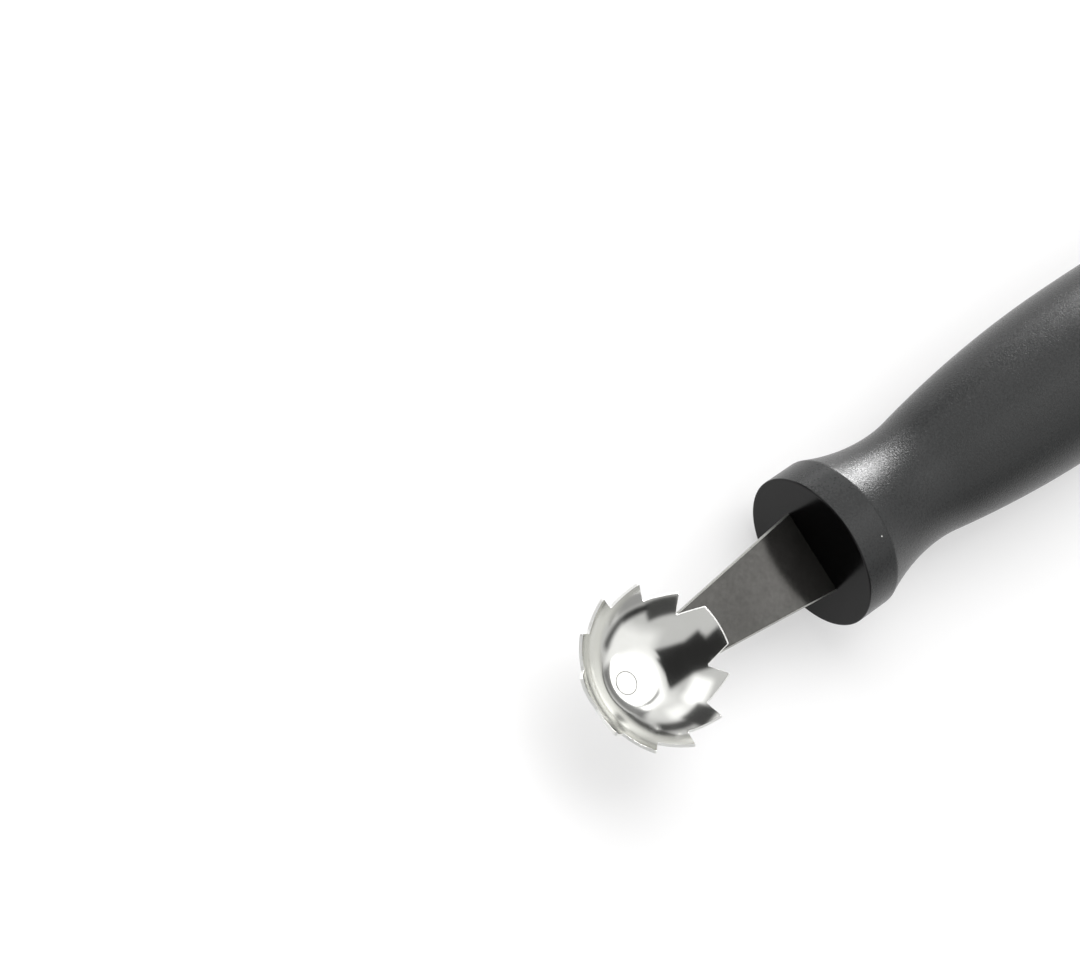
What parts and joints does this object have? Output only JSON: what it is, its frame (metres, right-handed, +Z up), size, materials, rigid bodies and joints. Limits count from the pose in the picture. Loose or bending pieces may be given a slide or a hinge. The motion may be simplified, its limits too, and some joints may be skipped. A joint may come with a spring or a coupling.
{
  "type": "tomato corer",
  "caption": "Hand tool with a moulded handle and a flat strip that carries a small toothed metal cup, for cutting the stalk out of a tomato.",
  "frame": {"origin": "middle of the bottom of the tool's box: under the handle's axis, at the level that the belly of the handle lies on", "axes": "+X along the handle towards its rear end, so the cup points along -X; +Z up out of the open cup, square to the strip; +Y across the strip"},
  "size_m": [0.1676, 0.0274, 0.0235],
  "materials": {
    "handle_plastic": "fine matt grain",
    "strip_steel": "satin",
    "cup_steel": "mirror polished",
    "rivet_steel": "polished flush"
  },
  "bodies": {
    "root": {"handle": "handle_plastic", "strip": "strip_steel", "cup": "cup_steel", "rivet": "rivet_steel"}
  },
  "joints": []
}
